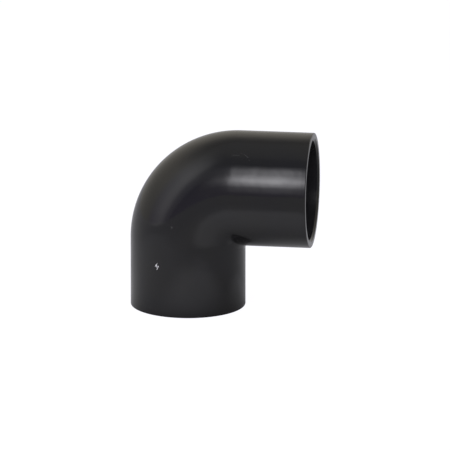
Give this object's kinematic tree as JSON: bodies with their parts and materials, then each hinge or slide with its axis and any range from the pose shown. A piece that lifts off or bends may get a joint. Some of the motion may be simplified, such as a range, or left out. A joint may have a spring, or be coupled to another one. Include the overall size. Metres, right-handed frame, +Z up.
{
  "type": "pool hose elbow",
  "caption": "Moulded black plastic right-angle elbow with two plain solvent-weld sockets and a smooth outer bend, standing on its lower socket's rim.",
  "frame": {"origin": "middle of the bounding box, on the surface that the lower socket's rim stands on", "axes": "+Z up the lower socket's axis, +X out of the side socket's mouth, +Y across the bend"},
  "size_m": [0.0954, 0.06, 0.0933],
  "materials": {
    "black_plastic": "satin, as moulded"
  },
  "bodies": {
    "root": {"elbow_body": "black_plastic"}
  },
  "joints": []
}
